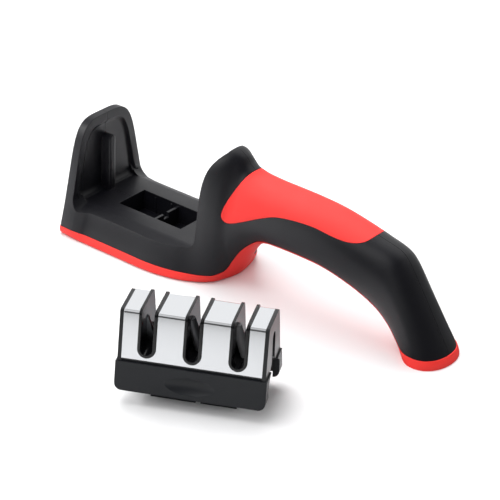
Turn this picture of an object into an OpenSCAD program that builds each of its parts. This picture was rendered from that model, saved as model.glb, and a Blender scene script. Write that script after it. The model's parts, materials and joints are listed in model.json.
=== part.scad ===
// Hand-held knife sharpener: an arched holder and the three-slot cartridge that lifts out of its bay.
// X runs from the end tower to the foot, Y to the rear, Z up. The origin is on the table
// under the middle of the bay. The cartridge stands on the table in front of the holder.

/* [Holder] */
// Overall length from the end tower to the heel of the foot
holder_l = 210.9; // [205:0.1:216]
// Length of the straight base before the neck sets in
base_l = 66; // [64:0.5:68]
// Width of the sole at the end tower
base_w = 57.6; // [54:0.2:60]
// Width of the base where the bay ends
waist_w = 39; // [37:0.5:41]
// Width of the handle at the grip
handle_w = 26; // [24:0.5:29]
// Width of the foot
foot_w = 28.6; // [26:0.2:32]
// Height of the deck
deck_h = 16.6; // [15.6:0.1:17.6]
// Height of the end tower
end_tower_h = 56.4; // [55:0.2:60]
// Height of the neck tower
neck_tower_h = 64.4; // [63:0.2:68]
// Height of the finger arch under the handle
arch_h = 27; // [25:0.5:28]
// Wall of the two shells
shell_t = 2.4; // [2:0.1:2.8]
// Thickness of the red sole and of the cap of the foot
sole_t = 4.2; // [3.6:0.1:5]
// Thickness of the red strip under the handle
strip_t = 3.2; // [2.8:0.1:3.6]
// How far the red sole stands proud of the black shells
sole_proud = 0.3; // [0.1:0.05:0.5]
// Thickness of the red grip
grip_t = 1.3; // [1:0.1:1.5]

/* [Bay] */
// Clear length of the bay between the rims of the two towers
bay_l = 70.8; // [70:0.1:71.2]
// Thickness of the end tower
end_tower_t = 5.9; // [5.4:0.1:6.6]
// How far the end tower's outer face leans in from its foot to its top
end_lean = 0.9; // [0.6:0.1:1.2]
// Depth of the dish in the inner face of a tower
dish_depth = 2; // [1.6:0.1:2.2]
// Width of the rim round the dish
dish_rim = 2.2; // [1.8:0.1:2.8]
// Thickness of the guide ribs on the towers
rib_t = 4.2; // [3.6:0.1:4.4]
// How far a guide rib stands out past the rim of its tower
rib_reach = 3.8; // [3.6:0.1:4]
// Height of the guide ribs above the deck
rib_h = 28.6; // [26:0.1:28.8]
// Radius between deck and towers
bay_fillet = 2; // [1.6:0.1:2.2]
// Width of the flat of the deck
flat_w = 36; // [35:0.5:38]
// Slope of the bands along the front and rear of the deck, in degrees
band_slope = 24; // [18:1:26]
// Radius between those bands and the end tower
band_fillet = 5.4; // [4:0.1:6]
// Radius between those bands and the neck tower
neck_fillet = 3; // [2:0.1:3.6]
// Length of the opening in the deck
cell_l = 38.8; // [38.8:0.1:39.6]
// Width of the opening in the deck
cell_w = 18.4; // [18:0.1:18.8]
// Thickness of the rib that divides the opening
divider_t = 1.4; // [1.2:0.1:1.8]
// Depth of the divider's top below the deck
divider_drop = 1.5; // [1.2:0.1:2.5]
// How far the divider stands off the middle, so that the cartridge goes in one way round
divider_shift = 2; // [1:0.1:2.4]
// Width of the notch in the middle of the divider
notch_w = 3.4; // [2:0.1:5]
// Wall round the cells under the deck
cell_wall = 1.4; // [1.2:0.1:1.8]

/* [Shell screws] */
// Shank diameter of the shell screws
screw_d = 2.9; // [2.6:0.1:3.2]
// Head diameter of the shell screws
screw_head_d = 5.6; // [5.2:0.1:6]
// Head height of the shell screws
screw_head_h = 2; // [1.6:0.1:2.2]
// Length of the shell screws under the head
screw_l = 11; // [9:0.5:12]
// Web under the head in the rear shell
screw_web = 3; // [2.4:0.1:3.4]
// Diameter of the screw bosses
boss_d = 8.6; // [8.4:0.1:9]

/* [Cartridge] */
// Length of the cartridge
cart_l = 64.8; // [63:0.1:65.2]
// Depth of the cartridge at the foot of its skirt
cart_foot_d = 33.6; // [32.6:0.1:34.4]
// Depth of the cartridge across its top
cart_top_d = 19; // [18.6:0.1:20]
// Height of the cartridge above the foot of its skirt
cart_h = 35.4; // [35:0.1:37]
// Height of the skirt
skirt_h = 12.8; // [12:0.1:13.4]
// Wall of the skirt
skirt_t = 2.2; // [2:0.1:2.4]
// How far the skirt stands proud of the metal cover
skirt_proud = 0.5; // [0.3:0.1:0.7]
// How far the skirt stands proud of the end plates
skirt_end_proud = 0.7; // [0.4:0.1:0.8]
// Radius of the lower corners of the skirt
skirt_corner_r = 3.2; // [2.6:0.1:3.6]
// Depth of the two plugs below the skirt
plug_h = 6.4; // [6:0.1:7]
// Wall of the plugs
plug_t = 1.5; // [1.3:0.1:1.8]
// Clearance of the plugs in the cells of the deck
plug_gap = 0.4; // [0.3:0.05:0.5]
// Floor of the cartridge base
floor_t = 2; // [1.8:0.1:2.4]
// Wall of the housing
housing_t = 1.4; // [1.2:0.1:1.6]
// Width of the black frame at each end of the metal cover
frame_w = 1.7; // [1.5:0.1:2]
// Thickness of the end plates
end_plate_t = 3.4; // [3.2:0.1:3.8]
// Sheet thickness of the metal cover
cover_t = 0.6; // [0.5:0.05:0.8]
// Outer bend radius of the metal cover
cover_r = 1.6; // [1.4:0.1:2]
// Height of the black strip that shows between the skirt and the metal cover
cover_gap = 1.3; // [0.8:0.1:1.6]
// Width of the keyhole groove where it takes the guide rib
groove_w = 5; // [4.6:0.1:5.4]
// Depth of the keyhole groove
groove_depth = 2; // [1.9:0.1:2.2]
// Height of the groove's closed end above the foot of the skirt
groove_h = 29.3; // [29:0.1:30]
// Width of the flared lower end of the groove
flare_w = 21; // [18:0.5:23]
// Height above the foot of the skirt at which the groove starts to flare
flare_h = 16.5; // [15:0.1:18]
// Length of the thumb recess
thumb_l = 22; // [16:0.5:24]
// Height of the thumb recess
thumb_h = 8; // [7:0.2:9]
// Depth of the thumb recess
thumb_depth = 1.4; // [1:0.1:1.5]

/* [Knife slots] */
// Distance between the knife slots
slot_pitch = 19.9; // [19.6:0.1:20.4]
// Clear width of a knife slot
slot_w = 5.5; // [5.3:0.1:5.7]
// Wall of the slot guides
guide_t = 1.2; // [1:0.05:1.3]
// How far the rim of a slot guide stands proud of the metal cover
rim_proud = 0.8; // [0.5:0.1:1]
// Height of the slot floor above the foot of the skirt
slot_floor_h = 16.9; // [16.4:0.1:18]
// Thickness of the block that holds the stones on each side of a slot
cheek_t = 2.9; // [2.6:0.1:3]
// Depth of that block from front to rear
cheek_d = 14; // [12.8:0.1:14.2]
// Diameter of the sharpening rods
rod_d = 4.4; // [3.8:0.1:4.6]
// Length of the sharpening rods
rod_l = 20; // [18:0.5:20.5]
// Lean of rods and blades from the upright, in degrees
stone_lean = 17; // [15:1:18]
// Height of the point where the rods cross, above the foot of the skirt
rod_cross_h = 20.6; // [20.4:0.1:21]
// Height of the point where the carbide blades cross, above the foot of the skirt
blade_cross_h = 13.8; // [13.6:0.1:14.2]
// Thickness of the carbide blades
blade_t = 2; // [1.6:0.1:2.4]
// Width of the carbide blades
blade_w = 4.4; // [4:0.1:4.8]
// Length of the carbide blades
blade_l = 18; // [16:0.5:18.5]
// Shank diameter of the screws in the cartridge
pin_d = 2.2; // [2:0.1:2.4]
// Head diameter of the screws in the cartridge
pin_head_d = 4; // [3.6:0.1:4.2]
// Head height of the screws in the cartridge
pin_head_h = 1.4; // [1.2:0.1:1.6]

/* [Place of the cartridge on the table] */
// Along the holder, from the middle of the bay
cart_x = 101; // [95:0.2:110]
// In front of the holder's middle
cart_y = -92; // [-100:0.5:-85]
// Turn of the cartridge, in degrees
cart_turn = 26; // [20:1:32]

/* [Hidden] */

// Clearance of a seated piece
fit = 0.1;
// Clearance of a bonded piece
bond = 0.05;
// Overrun of every cut
over = 1;
// Smoothness of the round features
fine = 24;

black = "#33363b";
skirt_black = "#25282c";
gloss_black = "#17181b";
red = "#ff4b45";
sole_red = "#ee3a34";
steel = "#c9ced3";
carbide = "#62666b";
diamond = "#84888d";
ceramic = "#b4b4b0";

// Where the holder's regions start and end along X
bay_left = -bay_l / 2;
bay_right = bay_l / 2;
end_x = bay_left - end_tower_t;
heel_x = end_x + holder_l;
neck_x = base_l / 2;
handle_run = heel_x - neck_x;

// Rounding of the end tower's outer edge, in plan and on top
corner_r = 1.5;
top_edge_r = 1.4;
// How far the crest of the neck tower leans back from the bay, and how late the lean sets in
neck_lean = 9;
lean_power = 6;
// How fast the flare of the base dies away above the sole
flare_power = 3;
// Slices between two rows of the loft, and points on each side of a slice
row_steps = 3;
side_points = 14;
// Steps of the neck tower's face and, in degrees, of the round corners
face_steps = 9;
arc_step = 15;
// Coarser figures for the hollow inside
inner_steps = 1;
inner_points = 10;

// The middle, as a share
half_share = 0.5;
// The loft of the holder is a row of slices. Each slice is a chord in the middle plane, from a point of the
// underside to a point of the top, with a half width. A row holds: bottom x, bottom z, top x, top z,
// half width, squareness below, squareness above, taper, pinch of the upper part, skin below, flare below.
base_square = 18;
end_square = 14;
top_square = 4.6;
// Rows of the base, whose x is a share of the bay and whose widths are shares of the base width
base_shares = [
    // x, top, half width, squareness above, taper, flare
    [0.00, 0.00, 0.389, top_square, 0.52, 0.05],
    [0.07, 0.05, 0.366, top_square, 0.45, 0.17],
    [0.15, 0.11, 0.349, top_square, 0.40, 0.25],
    [0.45, 0.34, 0.349, top_square, 0.40, 0.25],
    [0.70, 0.56, 0.349, 4.5, 0.40, 0.25],
    [0.87, 0.77, 0.330, 4.3, 0.40, 0.25]
];
// How far the sloping bands of the deck fall towards its rim
band_drop = (base_shares[2][2] * base_w - flat_w / 2) * tan(band_slope);
// Rows of the neck, whose x is a share of the handle's run
neck_shares = [
    // bottom x, top x, top z, half width, squareness below, squareness above, taper, pinch, flare, sole
    [0.000, 0.000, 0.955, 0.870, 16.0, 4.0, 0.46, 0.00, 0.24, 1.0],
    [0.050, 0.050, 0.980, 0.840, 13.0, 3.4, 0.34, 0.00, 0.16, 1.0],
    [0.086, 0.090, 1.000, 0.790, 8.0, 2.8, 0.16, 0.10, 0.14, 1.0],
    [0.109, 0.124, 0.972, 0.725, 3.0, 2.5, 0.02, 0.22, 0.10, 1.3]
];
// Rows of the handle. The width is a share of the handle's width, the skin a share of the red strip
handle_shares = [
    // bottom x, bottom z, top x, top z, half width, squareness below, squareness above, pinch, skin, flare
    [0.130, 0.144, 0.150, 0.912, 1.040, 2.3, 2.5, 0.18, 2.28, -0.30],
    [0.158, 0.440, 0.180, 0.874, 1.000, 2.3, 2.6, 0.06, 1.72, -0.30],
    [0.195, 0.715, 0.218, 0.856, 0.970, 2.4, 2.6, 0.00, 1.03, -0.25],
    [0.245, 0.889, 0.268, 0.848, 0.960, 2.5, 2.6, 0.00, 0.97, -0.20],
    [0.320, 0.940, 0.335, 0.846, 0.960, 2.6, 2.6, 0.00, 1.00, -0.15],
    [0.415, 0.952, 0.417, 0.842, 0.960, 2.6, 2.6, 0.00, 1.03, -0.10],
    [0.505, 0.927, 0.511, 0.828, 0.950, 2.6, 2.6, 0.00, 1.03, -0.10],
    [0.588, 0.839, 0.606, 0.795, 0.930, 2.6, 2.6, 0.00, 1.03, -0.10],
    [0.666, 0.706, 0.700, 0.754, 0.900, 2.6, 2.6, 0.00, 1.06, -0.10],
    [0.730, 0.539, 0.774, 0.716, 0.880, 2.6, 2.6, 0.00, 1.09, -0.10],
    [0.779, 0.344, 0.812, 0.652, 0.880, 2.6, 2.6, 0.00, 1.15, -0.05],
    [0.809, 0.177, 0.864, 0.490, 0.900, 2.5, 2.5, 0.00, 1.12, 0.00],
    [0.829, 0.057, 0.924, 0.290, 0.960, 2.4, 2.4, 0.00, 0.94, 0.00]
];
// Rows of the foot, whose slices turn until the last one lies on the table
foot_shares = [
    // bottom x and top x back from the heel, top z, half width, squareness, skin
    [0.162, 0.010, 0.065, 0.98, 2.2, 0.62],
    [0.160, 0.000, 0.000, 1.00, 2.1, 0.62]
];
// Lower edge of the grip in the side view, as shares of the handle's run and of the neck tower's height
grip_shares = [
    [0.170, 0.885], [0.143, 0.775], [0.118, 0.660], [0.107, 0.565], [0.119, 0.518], [0.145, 0.518],
    [0.200, 0.572], [0.260, 0.640], [0.325, 0.700], [0.400, 0.728], [0.480, 0.736], [0.550, 0.722],
    [0.605, 0.716], [0.648, 0.728], [0.675, 0.752], [0.686, 0.790]
];
grip_end_share = 0.7;
grip_steps = 4;
// Where the slices under the grip start and end, and where the arch sets in, as shares of the handle's run
core_shares = [0.05, 0.84];
arch_share = 0.08;
// Places of the shell screws, as shares of the holder's length and of the neck tower's height
boss_shares = [[0.057, 0.155], [0.329, 0.155], [0.462, 0.404], [0.667, 0.559], [0.876, 0.388]];
// Places of the guide fins in the longer cell, as shares of the opening from its middle
fin_shares = [-0.31, -0.05];
fin_t = 1;
fin_proud = 0.25;

// The cartridge's side view leans in at both faces
cart_lean = (cart_foot_d - cart_top_d) / 2 / cart_h;
cart_tilt = atan(cart_lean);
inner_r = 0.4;
// The housing tucks into the skirt by a spigot
spigot_h = 3;
spigot_step = 1.5;
spigot_inset = skirt_t - skirt_proud + fit;
// The floor stops short of the skirt's ends
floor_l = 2 * slot_pitch + 10;
// Half widths of a slot guide, outside and inside
guide_r = slot_w / 2 + guide_t;
slot_r = slot_w / 2;
// The blocks that hold the stones, and the pillars between them
block_low = blade_cross_h - 3.4;
block_high = cart_h - cover_t - housing_t - 2 * fit;
block_w = 2 * (guide_r + cheek_t);
pillar_d = 5;
pillar_y = 4.4;
pin_l = 10;
post_w = 3;
post_d = 10;
// How far rods and blades reach down past the point where they cross, and how far they stand off the middle
rod_drop = 8.6;
blade_drop = 2.8;
rod_gap = 0.3;
blade_gap = 0.15;
// Where the flare of the keyhole reaches its full width, as a share of its height
flare_share = 0.5;
// Middle of the thumb recess, as a share of the skirt's height
thumb_share = 0.45;

function blend(p0, p1, p2, p3, t) =
    (2 * p1 + (p2 - p0) * t + (2 * p0 - 5 * p1 + 4 * p2 - p3) * t * t
     + (3 * p1 - p0 - 3 * p2 + p3) * t * t * t) / 2;
function smooth_rows(rows, steps) =
    let (last = len(rows) - 1)
    [for (i = [0:last - 1], j = [0:steps - 1])
         blend(rows[max(i - 1, 0)], rows[i], rows[i + 1], rows[min(i + 2, last)], j / steps),
     rows[last]];
function arc_points(cx, cz, r, from, to, step = arc_step) =
    [for (t = [from:step:to]) [cx + r * cos(t), cz + r * sin(t)]];

function base_row(s) =
    let (x = (s[0] - half_share) * base_l)
    [x, 0, x, end_tower_h + s[1] * (neck_tower_h - end_tower_h), s[2] * base_w, base_square, s[3], s[4],
     0, sole_t, s[5]];
function neck_row(s) =
    [neck_x + s[0] * handle_run, 0, neck_x + s[1] * handle_run, s[2] * neck_tower_h,
     s[3] * waist_w / 2, s[4], s[5], s[6], s[7], s[9] * sole_t, s[8]];
function handle_row(s) =
    [neck_x + s[0] * handle_run, s[1] * arch_h, neck_x + s[2] * handle_run, s[3] * neck_tower_h,
     s[4] * handle_w / 2, s[5], s[6], 0, s[7], s[8] * strip_t, s[9]];
function foot_row(s) =
    [heel_x - s[0] * handle_run, 0, heel_x - s[1] * handle_run, s[2] * neck_tower_h,
     s[3] * foot_w / 2, s[4], s[4], 0, 0, s[5] * strip_t, 0];
// The end tower is rounded off in plan and on top, in quarter arcs
function end_row(t, inset) =
    let (x = end_x + corner_r * (1 - cos(t)) + inset,
         first = base_row(base_shares[0]),
         top_cut = top_edge_r * (1 - sin(min(90, t * corner_r / top_edge_r))))
    [x, 0, x + end_lean, end_tower_h - top_cut, first[4] - corner_r * (1 - sin(t)), end_square, first[6],
     first[7], 0, sole_t, first[10]];
// The smoothed rows never dip below the table
function grounded(row) = [for (i = [0:len(row) - 1]) i == 1 ? max(0, row[i]) : row[i]];
function holder_rows(inset, steps) =
    concat([for (t = [0:arc_step:90 - arc_step]) end_row(t, inset)],
           [for (row = smooth_rows(concat([for (s = base_shares) base_row(s)],
                                          [for (s = neck_shares) neck_row(s)],
                                          [for (s = handle_shares) handle_row(s)],
                                          [for (s = foot_shares) foot_row(s)]), steps)) grounded(row)]);
function rows_between(rows, from, to) = [for (row = rows) if (row[2] >= from && row[2] <= to) row];

// A point of a slice, from the chord's bottom at -90 degrees to its top at 90 degrees
function slice_point(row, angle, inset, lift) =
    let (bottom = [row[0], row[1]],
         top = [row[2], row[3]],
         chord = norm(top - bottom),
         along = (top - bottom) / chord,
         low = (lift ? row[9] : 0) + inset,
         mid = (low + chord - inset) / 2,
         half = (chord - inset - low) / 2,
         power = angle < 0 ? row[5] : row[6],
         rise = sign(sin(angle)) * pow(abs(sin(angle)), 2 / power),
         width = (row[4] - inset) * pow(cos(angle), 2 / power),
         share = rise / 2,
         narrow = (1 - row[7] * share) * (1 - row[8] * max(0, sin(180 * max(0, share))))
                  * (1 + row[10] * pow(max(0, -rise), flare_power)),
         place = bottom + along * (mid + half * rise))
    [place[0], width * narrow, place[1]];
// A slice's ring: up the front side, then down the rear side, or down a flap just behind the middle plane
function slice_ring(row, inset, lift, points, whole, flap) =
    let (side = [for (i = [0:points]) slice_point(row, -90 + 180 * i / points, inset, lift)],
         low = side[0],
         high = side[points])
    concat([for (i = [flap > 0 ? 1 : 0:flap > 0 ? points - 1 : points])
                [side[i][0], -side[i][1], side[i][2]]],
           whole ? [for (i = [points - 1:-1:1]) side[i]]
                 : flap > 0 ? [[high[0], flap, high[2]], [low[0], flap, low[2]]] : []);

// The holder's shape drawn in by inset: all of it, or the front half, where a cutter has a flap behind it
module loft(rows, inset = 0, lift = false, points = side_points, whole = false, flap = 0) {
    rings = [for (row = rows) slice_ring(row, inset, lift, points, whole, flap)];
    ring = len(rings[0]);
    last = (len(rings) - 1) * ring;
    caps = [[for (i = [ring - 1:-1:0]) i], [for (i = [0:ring - 1]) last + i]];
    walls = [for (r = [0:len(rings) - 2], i = [0:ring - 1])
        let (a = r * ring + i, b = r * ring + (i + 1) % ring)
        each [[a, b, b + ring], [a, b + ring, a + ring]]];
    polyhedron([for (r = rings) each r], concat(caps, walls));
}

// Extrudes a side view to both sides of the middle plane
module across(width = 2 * base_w) {
    rotate([90, 0, 0]) linear_extrude(width, center = true) children();
}

// Side view of the space between the towers, deepened into both towers by dish and into the deck by sink
function neck_face(z) =
    bay_right + neck_lean * pow(min(1, max(0, z - deck_h) / (neck_tower_h - deck_h)), lean_power);
module bay_profile(dish = 0, sink = 0, end_r = bay_fillet, neck_r = bay_fillet) {
    left = bay_left - dish;
    right = bay_right + dish;
    floor_z = deck_h - sink;
    low = floor_z + neck_r;
    high = 2 * neck_tower_h;
    polygon(concat(
        [[left, high]],
        arc_points(left + end_r, floor_z + end_r, end_r, 180, 270),
        arc_points(right - neck_r, low, neck_r, 270, 360 - arc_step),
        [for (i = [0:face_steps]) let (z = low + (neck_tower_h - low) * sin(90 * i / face_steps))
            [neck_face(z) + dish, z]],
        [[neck_face(high) + dish, high]]));
}

// Side view of everything under the parting line between the black shells and the red underside
module under_profile(raise = 0, floor_z = -4 * over) {
    rows = [for (row = holder_rows(0, row_steps)) if (row[0] > neck_x + arch_share * handle_run) row];
    line = [for (row = rows)
        let (along = [row[2] - row[0], row[3] - row[1]],
             p = [row[0], row[1]] + along / norm(along) * (row[9] + raise))
        [p[0], max(p[1], sole_t + raise)]];
    start = end_x - 4 * over;
    end = heel_x + 4 * over;
    polygon(concat([[start, sole_t + raise]], line,
                   [[end, sole_t + raise], [end, floor_z], [start, floor_z]]));
}

// Side view of the red grip: its lower edge runs from the lobe beside the tower to the nose near the knee
module grip_profile(grow = 0) {
    line = [for (s = smooth_rows(grip_shares, grip_steps)) [neck_x + s[0] * handle_run, s[1] * neck_tower_h]];
    last = len(line) - 1;
    edge = [for (i = [0:last])
        let (way = line[min(i + 1, last)] - line[max(i - 1, 0)])
        line[i] + [way[1], -way[0]] / norm(way) * grow];
    high = neck_tower_h + over;
    polygon(concat(edge, [[neck_x + grip_end_share * handle_run + grow, high], [edge[0][0], high]]));
}
// The stretch of the holder's shape that carries the grip
module grip_core(inset, whole = true, flap = 0) {
    rows = rows_between(holder_rows(0, row_steps), neck_x + core_shares[0] * handle_run,
                        neck_x + core_shares[1] * handle_run);
    loft(rows, inset, whole = whole, flap = flap);
}

// Upright ribs on the inner faces of the towers, which guide the cartridge
module guide_rib(from, to) {
    translate([from, -rib_t / 2, deck_h - over]) cube([to - from, rib_t, rib_h + over - rib_t / 2]);
    translate([from, 0, deck_h + rib_h - rib_t / 2])
        rotate([0, 90, 0]) cylinder(d = rib_t, h = to - from, $fn = fine);
}
// The bay's cut over the front or rear band of the deck, which slopes down to its rim
module bay_wing(side) {
    translate([0, side * flat_w / 2, deck_h]) rotate([-side * band_slope, 0, 0]) translate([0, 0, -deck_h])
        across(2 * base_w) bay_profile(end_r = band_fillet, neck_r = neck_fillet);
}
// The space that the bay takes out of the holder, dished into the towers and clear of the ribs
module bay_space() {
    difference() {
        union() {
            across(flat_w + 4 * fit) bay_profile();
            for (side = [-1, 1]) bay_wing(side);
            intersection() {
                loft(rows_between(holder_rows(dish_rim, inner_steps), end_x, bay_right + neck_lean + foot_w),
                     dish_rim, flap = over);
                across() bay_profile(dish_depth, end_r = 2 * bay_fillet, neck_r = 2 * bay_fillet);
            }
        }
        guide_rib(bay_left - 2 * dish_depth, bay_left + rib_reach);
        guide_rib(bay_right - rib_reach, bay_right + 2 * dish_depth + neck_lean);
    }
}
// The two cells in the deck, with the divider between them and the fins in the longer one
module cell_space() {
    low = sole_t + shell_t;
    difference() {
        translate([-cell_l / 2, -cell_w / 2, low]) cube([cell_l, cell_w, deck_h + over - low]);
        difference() {
            translate([divider_shift - divider_t / 2, -cell_w, 0])
                cube([divider_t, 2 * cell_w, deck_h - divider_drop]);
            translate([-cell_l, -notch_w / 2, deck_h - divider_drop - notch_w / 2])
                cube([2 * cell_l, notch_w, notch_w]);
        }
        for (share = fin_shares, side = [-1, 1])
            translate([share * cell_l - fin_t / 2, side * (cell_w / 2) - fin_proud, 0])
                cube([fin_t, 2 * fin_proud, deck_h - divider_drop]);
    }
}
// Places a screw, or a hole for it, at each boss: Z turns to the rear
module at_bosses() {
    for (s = boss_shares)
        translate([end_x + s[0] * holder_l, 0, s[1] * neck_tower_h]) rotate([-90, 0, 0]) children();
}
// The hollow inside the holder, clear of the bosses and of the walls round the cells
module hollow() {
    difference() {
        loft(holder_rows(shell_t, inner_steps), shell_t, true, inner_points, flap = over);
        across() bay_profile(dish_depth + shell_t, shell_t + band_drop);
        across() under_profile(shell_t + fit);
        at_bosses() cylinder(d = boss_d, h = 2 * base_w, center = true, $fn = fine);
        translate([-cell_l / 2 - cell_wall, -cell_w / 2 - cell_wall, 0])
            cube([cell_l + 2 * cell_wall, cell_w + 2 * cell_wall, deck_h]);
    }
}
module shell_blank() {
    difference() {
        loft(holder_rows(0, row_steps), flap = over);
        translate([end_x - over, 0, -over]) cube([holder_l + 2 * over, 2 * over, neck_tower_h + 2 * over]);
        across() under_profile();
        bay_space();
        hollow();
        cell_space();
        difference() {
            across() grip_profile(bond);
            grip_core(grip_t + bond, false, over);
        }
    }
}

module body_front_shell() {
    color(black) difference() {
        shell_blank();
        at_bosses() translate([0, 0, screw_web - screw_l - fit])
            cylinder(d = screw_d, h = screw_l, $fn = fine);
    }
}

module body_rear_shell() {
    color(black) difference() {
        mirror([0, 1, 0]) shell_blank();
        at_bosses() {
            translate([0, 0, -over]) cylinder(d = screw_d + 4 * fit, h = screw_l, $fn = fine);
            translate([0, 0, screw_web]) cylinder(d = screw_head_d + 4 * fit, h = base_w, $fn = fine);
        }
    }
}

module grip_inlay() {
    color(red) intersection() {
        across() grip_profile();
        difference() {
            grip_core(0);
            grip_core(grip_t);
        }
    }
}

module soft_underside() {
    color(sole_red) intersection() {
        loft(holder_rows(-sole_proud, row_steps), -sole_proud, whole = true);
        across() under_profile(-bond, 0);
    }
}

// A screw that stands on its tip's side of Z, with a cross recess in its head
module screw(shank_d, shank_l, head_d, head_h) {
    difference() {
        union() {
            cylinder(d = head_d, h = head_h, $fn = fine);
            translate([0, 0, -shank_l]) cylinder(d = shank_d, h = shank_l + head_h / 2, $fn = fine);
        }
        for (turn = [0, 90])
            rotate([0, 0, turn]) translate([-head_d / 3, -head_d / 14, head_h / 2])
                cube([2 * head_d / 3, head_d / 7, head_h]);
    }
}
module shell_screws() {
    color(steel) at_bosses() translate([0, 0, screw_web]) screw(screw_d, screw_l, screw_head_d, screw_head_h);
}

// Everything below is drawn with the foot of the skirt at Z zero, and then stood on the table
module on_table() {
    translate([cart_x, cart_y, plug_h]) rotate([0, 0, cart_turn]) children();
}
function half_depth(h) = cart_foot_d / 2 - cart_lean * h;
function face_y(h, inset) = half_depth(h) - inset / cos(cart_tilt);
// The cartridge's side view between two heights, drawn in by inset
module band(inset, low, high, length) {
    rotate([90, 0, 90]) linear_extrude(length, center = true)
        polygon([[-face_y(low, inset), low], [face_y(low, inset), low],
                 [face_y(high, inset), high], [-face_y(high, inset), high]]);
}
// The same up to the rounded top
module wedge(inset, low, length) {
    r = max(inner_r, cover_r - inset);
    high = cart_h - inset - r;
    y = face_y(high, inset + r);
    rotate([90, 0, 90]) linear_extrude(length, center = true)
        polygon(concat([[face_y(low, inset), low]],
                       arc_points(y, high, r, cart_tilt, 90, (90 - cart_tilt) / 6),
                       arc_points(-y, high, r, 90, 180 - cart_tilt, (90 - cart_tilt) / 6),
                       [[-face_y(low, inset), low]]));
}
// A slot from front to rear with a round floor, of half width r
module slot(r) {
    depth = 2 * cart_foot_d;
    translate([0, 0, slot_floor_h + slot_r]) {
        rotate([90, 0, 0]) cylinder(r = r, h = depth, center = true, $fn = fine);
        translate([-r, -depth / 2, 0]) cube([2 * r, depth, cart_h]);
    }
}
module at_slots() {
    for (i = [-1:1]) translate([i * slot_pitch, 0, 0]) children();
}
module at_pillars() {
    for (x = [-1, 1], y = [-1, 1]) translate([x * slot_pitch / 2, y * pillar_y, 0]) children();
}
// The keyhole in an end of the cartridge: a narrow groove that flares to the foot of the skirt
module keyhole(depth, high = groove_h) {
    wide = flare_share * flare_h;
    sweep = [for (t = [0:arc_step:180])
        [groove_w / 2 + (flare_w - groove_w) / 4 * (1 + cos(t)), wide + (flare_h - wide) * t / 180]];
    half = concat([[flare_w / 2, -over]], sweep, [[groove_w / 2, high - groove_w / 2]]);
    for (side = [-1, 1])
        translate([side * (cart_l - depth + over) / 2, 0, 0])
            rotate([90, 0, 90]) linear_extrude(depth + over, center = true)
                polygon(concat(half,
                               arc_points(0, high - groove_w / 2, groove_w / 2, arc_step, 180 - arc_step),
                               [for (i = [len(half) - 1:-1:0]) [-half[i][0], half[i][1]]]));
}
// A long shallow dimple for the thumb, turned about its own length, in the front or rear of the skirt
module thumb_dimple(side) {
    mid = thumb_share * skirt_h;
    turn_r = (pow(thumb_h / 2, 2) + pow(thumb_depth, 2)) / (2 * thumb_depth);
    long_r = (pow(thumb_l / 2, 2) + pow(thumb_depth, 2)) / (2 * thumb_depth);
    out = turn_r - thumb_depth;
    end = thumb_l / 2 + over;
    translate([0, side * (face_y(mid, -skirt_proud) + out * cos(cart_tilt)), mid + out * sin(cart_tilt)])
        rotate([0, 90, 0]) rotate_extrude($fn = fine)
            polygon(concat([[0, -end]],
                           [for (i = [-8:8]) let (x = end * i / 8)
                                [turn_r - long_r + sqrt(long_r * long_r - x * x), x]],
                           [[0, end]]));
}

module cartridge_base() {
    plug_y = cell_w / 2 - plug_gap;
    plug_end = cell_l / 2 - plug_gap;
    plug_mid = divider_t / 2 + plug_gap;
    skirt_end = cart_l / 2 + skirt_end_proud;
    plugs = [[-plug_end, divider_shift - plug_mid], [divider_shift + plug_mid, plug_end]];
    color(skirt_black) on_table() difference() {
        union() {
            difference() {
                intersection() {
                    band(-skirt_proud, 0, skirt_h, 2 * skirt_end);
                    across() polygon(concat([[-skirt_end, skirt_h]],
                        arc_points(skirt_corner_r - skirt_end, skirt_corner_r, skirt_corner_r, 180, 270),
                        arc_points(skirt_end - skirt_corner_r, skirt_corner_r, skirt_corner_r, 270, 360),
                        [[skirt_end, skirt_h]]));
                }
                band(skirt_t - skirt_proud, -over, skirt_h + over, cart_l - 2 * skirt_t);
            }
            band(skirt_t - skirt_proud - fit, 0, floor_t, floor_l);
            for (plug = plugs)
                translate([plug[0], -plug_y, -plug_h])
                    cube([plug[1] - plug[0], 2 * plug_y, plug_h + floor_t]);
            at_slots() translate([-post_w / 2, -post_d / 2, floor_t / 2])
                cube([post_w, post_d, block_low - floor_t / 2]);
        }
        for (plug = plugs)
            translate([plug[0] + plug_t, plug_t - plug_y, -plug_h - over])
                cube([plug[1] - plug[0] - 2 * plug_t, 2 * (plug_y - plug_t), plug_h + over]);
        at_pillars() cylinder(d = pin_d + 2 * fit, h = 4 * floor_t, center = true, $fn = fine);
        keyhole(skirt_t + over);
        for (side = [-1, 1]) thumb_dimple(side);
    }
}

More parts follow.
